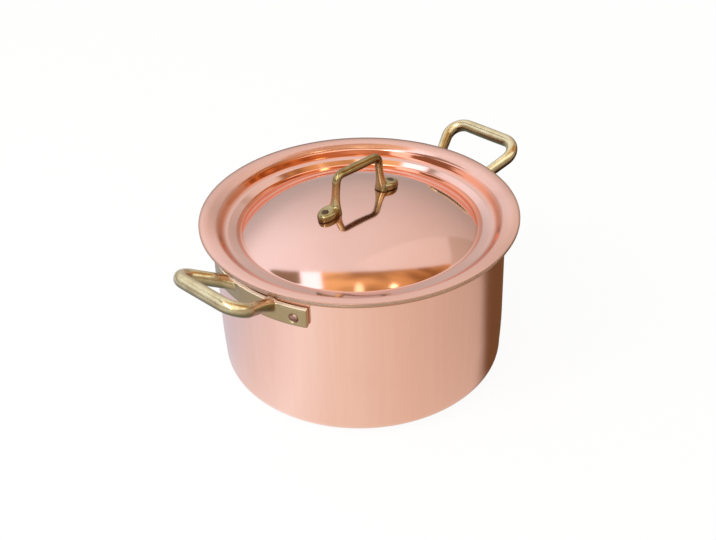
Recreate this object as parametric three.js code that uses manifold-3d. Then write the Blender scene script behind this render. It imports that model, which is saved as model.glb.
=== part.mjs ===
// A low copper stockpot with its lid on: tinned inside, with two cast brass loop handles riveted to the
// wall and a cast brass bridge handle riveted to the lid.
// Millimetres, +Z up. The origin is the centre of the flat base, and the side handles lie along X.

import * as THREE from 'three';
import { mergeVertices } from 'three/addons/utils/BufferGeometryUtils.js';
import Module from 'manifold-3d';

const wasm = await Module();
wasm.setup();

// Body
const wallRadius = 120;
const rimHeight = 136.4;
const bodyGauge = 2;
const baseCornerRadius = 16;
const drawInDepth = 1.3;
const drawInHeight = 51.5;
const drawInShares = [0.35, 0.65, 1];
const lipWidth = 9.8;
const lipAngle = THREE.MathUtils.degToRad(16.7);
const lipBendRadius = 3;

// Tin on the inside of the body and under the lid
const tinThickness = 0.3;
const tinGap = 0.05;

// Lid
const lidGauge = 1.2;
const lidSeatGap = 0.3;
const lidOverhang = 1.7;
const stepInset = 0.35;
const firstStepRun = 5.5;
const firstStepDrop = 5;
const bandWidth = 10.6;
const bandAngle = THREE.MathUtils.degToRad(9);
const secondStepRun = 3.2;
const secondStepDrop = 2.3;
const stepFillet = 3.5;
const domeFillet = 2.5;
const domeRise = 25;
const domeFullness = 2.4;

// Side handles: the strap
const strapLength = 108.7;
const strapHeight = 17;
const strapThickness = 4.5;
const strapDrop = 11.4;
const strapEdgeRadius = 1.2;
const strapSeatGap = 0.3;
const sideRivetInset = 11.3;
const sideRivetRise = 7;

// Side handles: the loop
const loopRootSpan = 43;
const loopBarSpan = 79.8;
const loopReach = 42.4;
const loopRise = 24.7;
const loopRootDrop = 4.2;
const loopCornerRadius = 13.4;
const loopHalfDepth = 5.8;
const loopBarHalfWidth = 5.5;
const loopLegHalfWidth = 3.9;
const loopRootHalfWidth = 7.5;
const loopFlareLength = 13;

// Lid handle
const lidHandleTurn = THREE.MathUtils.degToRad(-3);
const footOffset = 9.4;
const footLength = 21.8;
const footShift = 3.3;
const footWidth = 14.5;
const footThickness = 6.5;
const footBevel = 2.2;
const footSeatGap = 0.3;
const handleHeight = 30.9;
const handleBarSpan = 45.4;
const handleLegSpan = 52.6;
const handleCornerRadius = 6;
const handleBarRadius = 3.8;
const handleLegRadius = 3.3;
const handleRootHalfDepth = 7.6;
const handleRootHalfWidth = 5.6;
const handleFlareLength = 19.5;

// Rivets
const rivetGap = 0.3;
const sideRivet = { shankRadius: 2.7, headRadius: 3.7, headHeight: 1.9, tailRadius: 5.2, tailHeight: 2.2 };
const sideRecessDepth = 1.2;
const lidRivet = { shankRadius: 2, headRadius: 3, headHeight: 0.9, tailRadius: 4, tailHeight: 1.6 };
const lidRecessDepth = 0.6;

// Facets
const roundSides = 40;
const barSides = 10;
const rivetSides = 12;
const domeSteps = 6;
const headSteps = 3;
const legStationShares = [0.15, 0.35, 0.6];

// How far a cutting tool runs past what it cuts, and a leg past the seat that cuts it
const overrun = 4;
const legOverrun = 1.5;

// What follows from the sizes above
const tinStack = tinGap + tinThickness;
const mouthRadius = wallRadius - bodyGauge - tinStack;
const lipRadius = wallRadius + lipWidth;
const lidEdgeRadius = lipRadius + lidOverhang;
const strapInnerRadius = wallRadius + strapSeatGap;
const strapOuterRadius = strapInnerRadius + strapThickness;
const strapTop = rimHeight - strapDrop;
const strapHalfAngle = strapLength / 2 / strapOuterRadius;
const sideRivetAngle = strapHalfAngle - sideRivetInset / strapOuterRadius;
const sideRivetHeight = strapTop - strapHeight + sideRivetRise;
const bandOuterRadius = mouthRadius - stepInset - firstStepRun;
const bandInnerRadius = bandOuterRadius - bandWidth;
const domeRadius = bandInnerRadius - secondStepRun;
const footSpacing = handleLegSpan + 2 * footOffset;
const facetShare = Math.cos(Math.PI / roundSides);

// The lid's own zero height is the top of its outer edge.
const lidStack = tinStack + lidSeatGap + tinStack + lidGauge;
const lidHeight = rimHeight + lidOverhang * Math.tan(lipAngle) + lidStack / Math.cos(lipAngle);
const stepTop = -(lidEdgeRadius - mouthRadius + stepInset) * Math.tan(lipAngle);
const bandTop = stepTop - firstStepDrop;
const bandBottom = bandTop - bandWidth * Math.tan(bandAngle);
const domeBase = bandBottom - secondStepDrop;
const domeTop = domeBase + domeRise;

// Height of the dome's outside, in the lid's frame
function domeHeight(radius) {
  return domeBase + domeRise * (1 - (radius / domeRadius) ** domeFullness);
}

// Slope of the dome's outside, as an angle
function domeSlope(radius) {
  const steepness = (domeRise / domeRadius) * domeFullness;
  return Math.atan(steepness * (radius / domeRadius) ** (domeFullness - 1));
}

// An open outline whose corners are rounded by arcs: each corner is a point, its fillet and its arc steps
function roundedOutline(corners) {
  const points = [corners[0].point];
  for (let i = 1; i < corners.length - 1; i++) {
    const { point, fillet = 0, steps = 0 } = corners[i];
    if (fillet === 0) {
      points.push(point);
      continue;
    }
    const back = corners[i - 1].point.clone().sub(point).normalize();
    const ahead = corners[i + 1].point.clone().sub(point).normalize();
    const half = Math.acos(THREE.MathUtils.clamp(back.dot(ahead), -1, 1)) / 2;
    const bisector = back.clone().add(ahead).normalize();
    const centre = point.clone().addScaledVector(bisector, fillet / Math.sin(half));
    const start = point.clone().addScaledVector(back, fillet / Math.tan(half)).sub(centre);
    const turn = Math.sign(back.cross(ahead)) * (2 * half - Math.PI);
    for (let step = 0; step <= steps; step++) {
      points.push(start.clone().rotateAround(new THREE.Vector2(), (turn * step) / steps).add(centre));
    }
  }
  points.push(corners[corners.length - 1].point);
  return points;
}

// An outline moved sideways, to the left of its direction: its two ends keep their radius
function offsetOutline(points, distance) {
  const last = points.length - 1;
  const directions = points.slice(1).map((point, i) => point.clone().sub(points[i]).normalize());
  return points.map((point, i) => {
    if (i === 0 || i === last) {
      const along = directions[i === 0 ? 0 : last - 1];
      return new THREE.Vector2(point.x, point.y + distance / along.x);
    }
    const along = directions[i - 1].clone().add(directions[i]).normalize();
    const reach = distance / along.dot(directions[i]);
    return new THREE.Vector2(point.x - along.y * reach, point.y + along.x * reach);
  });
}

// A solid of revolution about Z, from a profile that goes up its outside
function turned(profile) {
  return new THREE.LatheGeometry(profile, roundSides).rotateX(Math.PI / 2);
}

// three.js geometry to a solid for booleans
function toSolid(geometry) {
  const bare = geometry.clone();
  bare.deleteAttribute('normal');
  bare.deleteAttribute('uv');
  const merged = mergeVertices(bare);
  const corners = merged.index.array;
  const triangles = [];
  for (let i = 0; i < corners.length; i += 3) {
    const [a, b, c] = corners.slice(i, i + 3);
    if (a !== b && b !== c && c !== a) {
      triangles.push(a, b, c);
    }
  }
  const vertProperties = new Float32Array(merged.attributes.position.array);
  const triVerts = new Uint32Array(triangles);
  return new wasm.Manifold(new wasm.Mesh({ numProp: 3, vertProperties, triVerts }));
}

// A solid back to three.js geometry
function toGeometry(solid) {
  const mesh = solid.getMesh();
  const geometry = new THREE.BufferGeometry();
  geometry.setAttribute('position', new THREE.BufferAttribute(new Float32Array(mesh.vertProperties), 3));
  geometry.setIndex(new THREE.BufferAttribute(new Uint32Array(mesh.triVerts), 1));
  geometry.computeVertexNormals();
  return geometry;
}

function joined(geometries) {
  return toGeometry(geometries.map(toSolid).reduce((whole, piece) => whole.add(piece)));
}

function cut(geometry, tools) {
  return toGeometry(tools.map(toSolid).reduce((rest, tool) => rest.subtract(tool), toSolid(geometry)));
}

function named(name, geometry, material) {
  const mesh = new THREE.Mesh(geometry, material);
  mesh.name = name;
  return mesh;
}

// A bar swept along a path in one plane: sectionAt gives the half width in the plane and the half depth
// across it, at a share of the path's length
function sweptBar(path, planeNormal, sectionAt, sides) {
  const lengths = [0];
  for (let i = 1; i < path.length; i++) {
    lengths.push(lengths[i - 1] + path[i].distanceTo(path[i - 1]));
  }
  const positions = [];
  path.forEach((point, i) => {
    const before = path[Math.max(i - 1, 0)];
    const after = path[Math.min(i + 1, path.length - 1)];
    const side = after.clone().sub(before).normalize().cross(planeNormal);
    const { halfWidth, halfDepth } = sectionAt(lengths[i], lengths[path.length - 1]);
    for (let k = 0; k < sides; k++) {
      const angle = (2 * Math.PI * k) / sides;
      const corner = point.clone().addScaledVector(side, halfWidth * Math.cos(angle));
      corner.addScaledVector(planeNormal, halfDepth * Math.sin(angle));
      positions.push(corner.x, corner.y, corner.z);
    }
  });
  const faces = [];
  const last = (path.length - 1) * sides;
  for (let k = 0; k < sides; k++) {
    const next = (k + 1) % sides;
    for (let ring = 0; ring < last; ring += sides) {
      faces.push(ring + k, ring + sides + next, ring + next);
      faces.push(ring + k, ring + sides + k, ring + sides + next);
    }
    if (k > 1) {
      faces.push(0, k - 1, k);
      faces.push(last, last + k, last + k - 1);
    }
  }
  const geometry = new THREE.BufferGeometry();
  geometry.setAttribute('position', new THREE.Float32BufferAttribute(positions, 3));
  geometry.setIndex(faces);
  return geometry;
}

// How far a flare has opened at a distance from the nearer end: one at the end, zero past its length
function flareShare(distance, whole, flareLength) {
  const share = Math.max(0, 1 - Math.min(distance, whole - distance) / flareLength);
  return share * share;
}

// A domed head or tail, from its rim to its top on the axis
function domedEnd(radius, height) {
  const points = [];
  for (let step = 0; step <= headSteps; step++) {
    const angle = (Math.PI / 2) * (step / headSteps);
    points.push(new THREE.Vector2(step < headSteps ? radius * Math.cos(angle) : 0, height * Math.sin(angle)));
  }
  return points;
}

// A rivet along Y: its tail bears at one height and its head at another
function rivetGeometry(rivet, tailAt, headAt) {
  const head = domedEnd(rivet.headRadius, rivet.headHeight);
  const tail = domedEnd(rivet.tailRadius, -rivet.tailHeight).reverse();
  const profile = [
    ...tail.map((point) => point.add(new THREE.Vector2(0, tailAt))),
    new THREE.Vector2(rivet.shankRadius, tailAt),
    new THREE.Vector2(rivet.shankRadius, headAt),
    ...head.map((point) => point.add(new THREE.Vector2(0, headAt))),
  ];
  return new THREE.LatheGeometry(profile, rivetSides);
}

// A round cutting tool along Y between two heights
function boreTool(radius, from, to) {
  const tool = new THREE.CylinderGeometry(radius, radius, to - from, rivetSides);
  return tool.translate(0, (from + to) / 2, 0);
}

// Materials
function copper() {
  return new THREE.MeshStandardMaterial({ color: 0xd9978a, roughness: 0.22, metalness: 1 });
}

function brass() {
  return new THREE.MeshStandardMaterial({ color: 0xb8a368, roughness: 0.3, metalness: 1 });
}

function rivetCopper() {
  return new THREE.MeshStandardMaterial({ color: 0x9c6450, roughness: 0.4, metalness: 1 });
}

function tin() {
  return new THREE.MeshStandardMaterial({ color: 0xb9b9b6, roughness: 0.45, metalness: 1 });
}

// Outside of the body, from the axis under the base to the lower corner of the lip's edge
function bodyOutline() {
  const lowRadius = wallRadius - drawInDepth;
  const lipDrop = bodyGauge / Math.cos(lipAngle);
  const lipEdge = new THREE.Vector2(lipRadius, rimHeight - lipDrop);
  const bend = new THREE.Vector2(wallRadius, lipEdge.y - lipWidth * Math.tan(lipAngle));
  const corners = [{ point: new THREE.Vector2(0, 0) }];
  corners.push({ point: new THREE.Vector2(lowRadius, 0), fillet: baseCornerRadius, steps: 4 });
  for (const share of drawInShares) {
    const height = baseCornerRadius + (drawInHeight - baseCornerRadius) * share;
    const radius = wallRadius - drawInDepth * (1 - share) ** 2;
    corners.push({ point: new THREE.Vector2(radius, height) });
  }
  corners.push({ point: bend, fillet: lipBendRadius, steps: 2 });
  corners.push({ point: lipEdge });
  return roundedOutline(corners);
}

// Outside of the lid, from its outer edge in to the axis
function lidOutline() {
  const corners = [
    { point: new THREE.Vector2(lidEdgeRadius, 0) },
    { point: new THREE.Vector2(bandOuterRadius + firstStepRun, stepTop), fillet: stepFillet, steps: 2 },
    { point: new THREE.Vector2(bandOuterRadius, bandTop), fillet: stepFillet, steps: 2 },
    { point: new THREE.Vector2(bandInnerRadius, bandBottom), fillet: domeFillet, steps: 1 },
    { point: new THREE.Vector2(domeRadius, domeBase), fillet: domeFillet, steps: 2 },
  ];
  for (let step = domeSteps - 1; step >= 0; step--) {
    const radius = (domeRadius * step) / domeSteps;
    corners.push({ point: new THREE.Vector2(radius, domeHeight(radius)) });
  }
  return roundedOutline(corners);
}

// Where a side rivet's axis lies: along Y of its own frame, radial in the handle's
function sideRivetPlace(side) {
  const place = new THREE.Matrix4().makeTranslation(0, 0, sideRivetHeight);
  return place.multiply(new THREE.Matrix4().makeRotationZ(side * sideRivetAngle - Math.PI / 2));
}

// Where a lid rivet's axis lies: along Y of its own frame, square to the dome in the handle's
function footPlace(side) {
  const centre = footSpacing / 2;
  const place = new THREE.Matrix4().makeTranslation(side * centre, 0, domeHeight(centre));
  return place.multiply(new THREE.Matrix4().makeRotationY(side * domeSlope(centre)));
}

function lidRivetPlace(side) {
  return footPlace(side).multiply(new THREE.Matrix4().makeRotationX(Math.PI / 2));
}

// Bores through the wall and its lining for both side handles
function wallBores() {
  const tools = [];
  for (const turn of [0, Math.PI]) {
    for (const side of [-1, 1]) {
      const radius = sideRivet.shankRadius + rivetGap;
      const tool = boreTool(radius, mouthRadius - overrun, wallRadius + overrun);
      tool.applyMatrix4(sideRivetPlace(side)).applyMatrix4(new THREE.Matrix4().makeRotationZ(turn));
      tools.push(tool);
    }
  }
  return tools;
}

// Bores through the lid and its lining
function lidBores() {
  return [-1, 1].map((side) => {
    const tool = boreTool(lidRivet.shankRadius + rivetGap, -overrun, overrun);
    tool.applyMatrix4(lidRivetPlace(side));
    return tool.applyMatrix4(new THREE.Matrix4().makeRotationZ(lidHandleTurn));
  });
}

// A layer of the body between two depths in from its outside
function bodySheet(outerDepth, innerDepth) {
  const outline = bodyOutline();
  return turned([...offsetOutline(outline, outerDepth), ...offsetOutline(outline, innerDepth).reverse()]);
}

// A layer of the lid between two depths down from its top
function lidSheet(upperDepth, lowerDepth) {
  const outline = lidOutline();
  return turned([...offsetOutline(outline, lowerDepth).reverse(), ...offsetOutline(outline, upperDepth)]);
}

function potShell() {
  return named('pot_shell', cut(bodySheet(0, bodyGauge), wallBores()), copper());
}

function potLining() {
  return named('pot_lining', cut(bodySheet(bodyGauge + tinGap, bodyGauge + tinStack), wallBores()), tin());
}

function lidShell() {
  return named('lid_shell', cut(lidSheet(0, lidGauge), lidBores()), copper());
}

function lidLining() {
  return named('lid_lining', cut(lidSheet(lidGauge + tinGap, lidGauge + tinStack), lidBores()), tin());
}

// The curved band that lies on the wall, with softened edges
function strap() {
  const ring = new THREE.Shape();
  ring.absarc(0, 0, strapOuterRadius - strapEdgeRadius, -strapHalfAngle, strapHalfAngle, false);
  ring.absarc(0, 0, strapInnerRadius + strapEdgeRadius, strapHalfAngle, -strapHalfAngle, true);
  const band = new THREE.ExtrudeGeometry(ring, {
    depth: strapHeight - 2 * strapEdgeRadius,
    bevelThickness: strapEdgeRadius,
    bevelSize: strapEdgeRadius,
    bevelSegments: 2,
    curveSegments: 8,
  });
  return band.translate(0, 0, strapTop - strapHeight + strapEdgeRadius);
}

// The loop: two splayed legs and a bar, in one plane that leans up and out from the strap
function loop() {
  const strapMiddle = (strapInnerRadius + strapOuterRadius) / 2;
  const rootDistance = Math.sqrt(strapMiddle ** 2 - (loopRootSpan / 2) ** 2);
  const barDistance = strapOuterRadius + loopReach;
  const slant = Math.hypot(barDistance - rootDistance, loopRise);
  const flat = roundedOutline([
    { point: new THREE.Vector2(0, -loopRootSpan / 2) },
    { point: new THREE.Vector2(slant, -loopBarSpan / 2), fillet: loopCornerRadius, steps: 5 },
    { point: new THREE.Vector2(slant, loopBarSpan / 2), fillet: loopCornerRadius, steps: 5 },
    { point: new THREE.Vector2(0, loopRootSpan / 2) },
  ]);
  const outward = new THREE.Vector3(barDistance - rootDistance, 0, loopRise).normalize();
  const normal = new THREE.Vector3(-outward.z, 0, outward.x);
  const root = new THREE.Vector3(rootDistance, 0, strapTop - loopRootDrop);
  const path = withStations(flat).map((point) => {
    const place = root.clone().addScaledVector(outward, point.x);
    place.y = point.y;
    return place;
  });
  const sectionAt = (distance, whole) => {
    const swell = Math.sin((Math.PI * distance) / whole) ** 2;
    const plain = loopLegHalfWidth + (loopBarHalfWidth - loopLegHalfWidth) * swell;
    const flare = (loopRootHalfWidth - loopLegHalfWidth) * flareShare(distance, whole, loopFlareLength);
    return { halfWidth: plain + flare, halfDepth: loopHalfDepth };
  };
  return sweptBar(path, normal, sectionAt, barSides);
}

// Adds stations along the legs and at the middle of the bar, so that the section can change there
function withStations(points) {
  const half = points.length / 2;
  const legStations = (end, corner) => legStationShares.map((share) => end.clone().lerp(corner, share));
  const firstLeg = legStations(points[0], points[1]);
  const lastLeg = legStations(points[points.length - 1], points[points.length - 2]).reverse();
  const middle = points[half - 1].clone().lerp(points[half], 1 / 2);
  const firstHalf = [points[0], ...firstLeg, ...points.slice(1, half)];
  const lastHalf = [...points.slice(half, -1), ...lastLeg, points[points.length - 1]];
  return [...firstHalf, middle, ...lastHalf];
}

// What the casting may not enter: the body's outside with the seat's gap round it
function bodySeat() {
  return turned([...offsetOutline(bodyOutline(), -strapSeatGap), new THREE.Vector2(0, rimHeight)]);
}

function sideHandle(name) {
  const tools = [-1, 1].flatMap((side) => {
    const through = boreTool(sideRivet.shankRadius + rivetGap, wallRadius, strapOuterRadius + overrun);
    const recessFloor = strapOuterRadius - sideRecessDepth;
    const recess = boreTool(sideRivet.headRadius + rivetGap, recessFloor, strapOuterRadius + overrun);
    return [through, recess].map((tool) => tool.applyMatrix4(sideRivetPlace(side)));
  });
  const casting = joined([cut(loop(), [bodySeat()]), strap()]);
  return named(name, cut(casting, tools), brass());
}

function sideRivetMesh(name, side) {
  const tailAt = (mouthRadius - rivetGap) * facetShare - sideRivet.tailRadius ** 2 / (2 * mouthRadius);
  const headAt = strapOuterRadius - sideRecessDepth + rivetGap;
  const mesh = named(name, rivetGeometry(sideRivet, tailAt, headAt), rivetCopper());
  mesh.applyMatrix4(sideRivetPlace(side));
  return mesh;
}

// One foot of the lid handle: an oval pad under the leg and its rivet, that reaches below its seat to be cut
function foot(side) {
  const outline = new THREE.Shape();
  const halfLength = footLength / 2 - footBevel;
  const halfWidth = footWidth / 2 - footBevel;
  outline.absellipse(-side * footShift, 0, halfLength, halfWidth, 0, 2 * Math.PI, false);
  const pad = new THREE.ExtrudeGeometry(outline, {
    depth: footThickness + overrun - 2 * footBevel,
    bevelThickness: footBevel,
    bevelSize: footBevel,
    bevelSegments: 2,
    curveSegments: 8,
  });
  return pad.translate(0, 0, footBevel - overrun).applyMatrix4(footPlace(side));
}

// The bridge between the feet, in the handle's upright plane: its legs reach below their seat to be cut
function bridge() {
  const rootHeight = domeHeight(handleLegSpan / 2) - legOverrun;
  const barHeight = domeTop + handleHeight;
  const flat = roundedOutline([
    { point: new THREE.Vector2(-handleLegSpan / 2, rootHeight) },
    { point: new THREE.Vector2(-handleBarSpan / 2, barHeight), fillet: handleCornerRadius, steps: 4 },
    { point: new THREE.Vector2(handleBarSpan / 2, barHeight), fillet: handleCornerRadius, steps: 4 },
    { point: new THREE.Vector2(handleLegSpan / 2, rootHeight) },
  ]);
  const path = withStations(flat).map((point) => new THREE.Vector3(point.x, 0, point.y));
  const sectionAt = (distance, whole) => {
    const swell = Math.sin((Math.PI * distance) / whole) ** 4;
    const radius = handleLegRadius + (handleBarRadius - handleLegRadius) * swell;
    const flare = flareShare(distance, whole, handleFlareLength);
    return {
      halfWidth: radius + (handleRootHalfWidth - handleLegRadius) * flare,
      halfDepth: radius + (handleRootHalfDepth - handleLegRadius) * flare,
    };
  };
  return sweptBar(path, new THREE.Vector3(0, -1, 0), sectionAt, barSides);
}

// What the lid handle may not enter: the lid's outside with the seat's gap over it
function lidSeat() {
  const floor = domeBase - overrun;
  const outside = offsetOutline(lidOutline(), -footSeatGap);
  return turned([new THREE.Vector2(0, floor), new THREE.Vector2(lidEdgeRadius, floor), ...outside]);
}

function lidHandle() {
  const tools = [-1, 1].flatMap((side) => {
    const through = boreTool(lidRivet.shankRadius + rivetGap, -overrun, footThickness + overrun);
    const recessFloor = footThickness - lidRecessDepth;
    const recess = boreTool(lidRivet.headRadius + rivetGap, recessFloor, footThickness + overrun);
    return [through, recess].map((tool) => tool.applyMatrix4(lidRivetPlace(side)));
  });
  const casting = joined([bridge(), foot(-1), foot(1)]);
  return named('lid_handle', cut(casting, [lidSeat(), ...tools]), brass());
}

function lidRivetMesh(name, side) {
  const tailAt = -lidGauge - tinStack - 2 * rivetGap;
  const headAt = footThickness - lidRecessDepth + rivetGap;
  const mesh = named(name, rivetGeometry(lidRivet, tailAt, headAt), rivetCopper());
  mesh.applyMatrix4(lidRivetPlace(side));
  return mesh;
}

// A side handle with its two rivets, turned to its side of the pot
function sideHandleGroup(sideName, turn) {
  const group = new THREE.Group();
  group.add(sideHandle(`side_handle_${sideName}`));
  group.add(sideRivetMesh(`side_rivet_${sideName}_a`, -1));
  group.add(sideRivetMesh(`side_rivet_${sideName}_b`, 1));
  group.rotation.z = turn;
  return group;
}

// The lid with its handle, on the body's lip
function lidGroup() {
  const handle = new THREE.Group();
  handle.add(lidHandle(), lidRivetMesh('lid_rivet_a', -1), lidRivetMesh('lid_rivet_b', 1));
  handle.rotation.z = lidHandleTurn;
  const group = new THREE.Group();
  group.add(lidShell(), lidLining(), handle);
  group.position.z = lidHeight;
  return group;
}

const pot = new THREE.Group();
pot.add(potShell(), potLining());
pot.add(sideHandleGroup('right', 0), sideHandleGroup('left', Math.PI));
pot.add(lidGroup());

export default pot;
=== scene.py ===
"""A copper stockpot with its lid on, dressed for a studio picture.

Shapes are worked out in millimetres in the pot's own frame: +Z up, the base's centre at the
origin and the side handles along X. They are scaled to metres when a mesh is made.
"""

import math

import bmesh
import bpy
from mathutils import Matrix, Vector
from mathutils.bvhtree import BVHTree


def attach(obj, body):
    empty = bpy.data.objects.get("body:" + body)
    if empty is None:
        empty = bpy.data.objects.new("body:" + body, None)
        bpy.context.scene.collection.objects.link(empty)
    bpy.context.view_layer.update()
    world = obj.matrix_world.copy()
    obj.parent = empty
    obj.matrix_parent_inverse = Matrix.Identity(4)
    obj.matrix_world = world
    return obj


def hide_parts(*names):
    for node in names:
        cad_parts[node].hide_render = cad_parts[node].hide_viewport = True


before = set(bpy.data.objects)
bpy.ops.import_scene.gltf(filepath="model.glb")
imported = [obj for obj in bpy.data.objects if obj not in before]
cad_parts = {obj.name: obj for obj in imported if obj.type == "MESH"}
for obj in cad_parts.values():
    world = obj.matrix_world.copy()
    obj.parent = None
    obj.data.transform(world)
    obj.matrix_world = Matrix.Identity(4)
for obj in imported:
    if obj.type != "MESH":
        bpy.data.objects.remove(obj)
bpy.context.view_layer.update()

MM = 0.001

# Body
WALL_RADIUS = 120.0
RIM_HEIGHT = 136.4
BODY_GAUGE = 2.0
BASE_CORNER_RADIUS = 16.0
DRAW_IN_DEPTH = 1.3
DRAW_IN_HEIGHT = 51.5
DRAW_IN_STEPS = 16
WALL_STATIONS = (70, 90, 110)
LIP_WIDTH = 9.8
LIP_ANGLE = math.radians(16.7)
LIP_BEND_RADIUS = 3.0
EDGE_ROUNDING = 0.45

# Tin
TIN_THICKNESS = 0.3
TIN_GAP = 0.05

# Lid
LID_GAUGE = 1.2
LID_SEAT_GAP = 0.3
LID_OVERHANG = 1.7
STEP_INSET = 0.35
FIRST_STEP_RUN = 5.5
FIRST_STEP_DROP = 5.0
BAND_WIDTH = 10.6
BAND_ANGLE = math.radians(9)
SECOND_STEP_RUN = 3.2
SECOND_STEP_DROP = 2.3
STEP_FILLET = 9.0
DOME_FILLET = 1.8
DOME_RISE = 25.0
DOME_FULLNESS = 2.4

# Side handles
STRAP_LENGTH = 108.7
STRAP_HEIGHT = 17.0
STRAP_THICKNESS = 4.5
STRAP_DROP = 11.4
STRAP_EDGE_RADIUS = 1.0
STRAP_SEAT_GAP = 0.3
SIDE_RIVET_INSET = 11.3
SIDE_RIVET_RISE = 7.0
LOOP_ROOT_SPAN = 43.0
LOOP_BAR_SPAN = 79.8
LOOP_REACH = 42.3
LOOP_RISE = 24.7
LOOP_ROOT_DROP = 4.2
LOOP_CORNER_RADIUS = 13.4
LOOP_HALF_DEPTH = 5.8
LOOP_BAR_HALF_WIDTH = 5.5
LOOP_LEG_HALF_WIDTH = 3.9
LOOP_ROOT_HALF_WIDTH = 7.5
LOOP_FLARE_LENGTH = 13.0

# Lid handle
LID_HANDLE_TURN = math.radians(-3)
FOOT_OFFSET = 9.4
FOOT_LENGTH = 21.8
FOOT_SHIFT = 3.3
FOOT_WIDTH = 14.5
FOOT_THICKNESS = 6.5
FOOT_DEPTH = 3.5
FOOT_SEAT_GAP = 0.1
FOOT_CROWN = (
    (1.0, 0.4), (0.99, 0.55), (0.965, 0.68), (0.92, 0.8),
    (0.85, 0.9), (0.74, 0.96), (0.55, 0.99), (0.3, 1.0),
)
HANDLE_HEIGHT = 30.9
HANDLE_BAR_SPAN = 45.4
HANDLE_LEG_SPAN = 52.6
HANDLE_CORNER_RADIUS = 6.0
HANDLE_BAR_RADIUS = 3.8
HANDLE_LEG_RADIUS = 3.3
HANDLE_ROOT_HALF_DEPTH = 7.6
HANDLE_ROOT_HALF_WIDTH = 5.6
HANDLE_FLARE_LENGTH = 19.5
LEG_OVERRUN = 1.5

# Rivets: shank radius, head radius, head height, tail radius, tail height
SIDE_RIVET = (2.7, 3.7, 1.9, 5.2, 2.2)
SIDE_RECESS_DEPTH = 1.2
LID_RIVET = (2.0, 3.0, 0.9, 4.0, 1.6)
LID_RECESS_DEPTH = 0.6
LID_RIVET_DIMPLE = 0.7
RIVET_GAP = 0.3

# Mesh fineness
ROUND_SIDES = 240
LID_SEAT_SIDES = 160
BAR_SIDES = 112
BORE_SIDES = 64
RIVET_SIDES = 48
STRAP_SLICES = 48
DOME_STEPS = 48
SIDE_CASTING_GRAIN = 0.42
LID_CASTING_GRAIN = 0.36
CASTING_SOFTENING = 18

# Where a bar's skin follows its sweep again: how far past the strap or foot, and over what run
LOOP_TRUING = (5.0, 6.0)
BRIDGE_TRUING = (2.0, 4.0)

# What follows from the sizes
TIN_STACK = TIN_GAP + TIN_THICKNESS
MOUTH_RADIUS = WALL_RADIUS - BODY_GAUGE - TIN_STACK
LIP_RADIUS = WALL_RADIUS + LIP_WIDTH
LID_EDGE_RADIUS = LIP_RADIUS + LID_OVERHANG
STRAP_INNER_RADIUS = WALL_RADIUS + STRAP_SEAT_GAP
STRAP_OUTER_RADIUS = STRAP_INNER_RADIUS + STRAP_THICKNESS
STRAP_TOP = RIM_HEIGHT - STRAP_DROP
STRAP_HALF_ANGLE = STRAP_LENGTH / 2 / STRAP_OUTER_RADIUS
SIDE_RIVET_ANGLE = STRAP_HALF_ANGLE - SIDE_RIVET_INSET / STRAP_OUTER_RADIUS
SIDE_RIVET_HEIGHT = STRAP_TOP - STRAP_HEIGHT + SIDE_RIVET_RISE
BAND_OUTER_RADIUS = MOUTH_RADIUS - STEP_INSET - FIRST_STEP_RUN
BAND_INNER_RADIUS = BAND_OUTER_RADIUS - BAND_WIDTH
DOME_RADIUS = BAND_INNER_RADIUS - SECOND_STEP_RUN
FOOT_SPACING = HANDLE_LEG_SPAN + 2 * FOOT_OFFSET
LID_STACK = TIN_STACK + LID_SEAT_GAP + TIN_STACK + LID_GAUGE
LID_HEIGHT = RIM_HEIGHT + LID_OVERHANG * math.tan(LIP_ANGLE) + LID_STACK / math.cos(LIP_ANGLE)
STEP_TOP = -(LID_EDGE_RADIUS - MOUTH_RADIUS + STEP_INSET) * math.tan(LIP_ANGLE)
BAND_TOP = STEP_TOP - FIRST_STEP_DROP
BAND_BOTTOM = BAND_TOP - BAND_WIDTH * math.tan(BAND_ANGLE)
DOME_BASE = BAND_BOTTOM - SECOND_STEP_DROP
DOME_TOP = DOME_BASE + DOME_RISE


def dome_height(radius):
    return DOME_BASE + DOME_RISE * (1 - (radius / DOME_RADIUS) ** DOME_FULLNESS)


def dome_slope(radius):
    steepness = DOME_RISE / DOME_RADIUS * DOME_FULLNESS
    return math.atan(steepness * (radius / DOME_RADIUS) ** (DOME_FULLNESS - 1))


# Outlines

def rounded_outline(corners):
    """An open outline: each corner is (x, y), or (x, y, fillet, steps) where an arc rounds it."""
    points = [Vector(corners[0][:2])]
    for i in range(1, len(corners) - 1):
        corner = Vector(corners[i][:2])
        fillet, steps = corners[i][2:] if len(corners[i]) > 2 else (0, 0)
        if fillet == 0:
            points.append(corner)
            continue
        back = (Vector(corners[i - 1][:2]) - corner).normalized()
        ahead = (Vector(corners[i + 1][:2]) - corner).normalized()
        half = math.acos(max(-1, min(1, back.dot(ahead)))) / 2
        centre = corner + (back + ahead).normalized() * (fillet / math.sin(half))
        start = corner + back * (fillet / math.tan(half)) - centre
        sense = 1 if back.x * ahead.y - back.y * ahead.x > 0 else -1
        turn = sense * (2 * half - math.pi)
        for step in range(steps + 1):
            angle = turn * step / steps
            swung = Vector((
                start.x * math.cos(angle) - start.y * math.sin(angle),
                start.x * math.sin(angle) + start.y * math.cos(angle),
            ))
            points.append(centre + swung)
    points.append(Vector(corners[-1][:2]))
    return points


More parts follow.
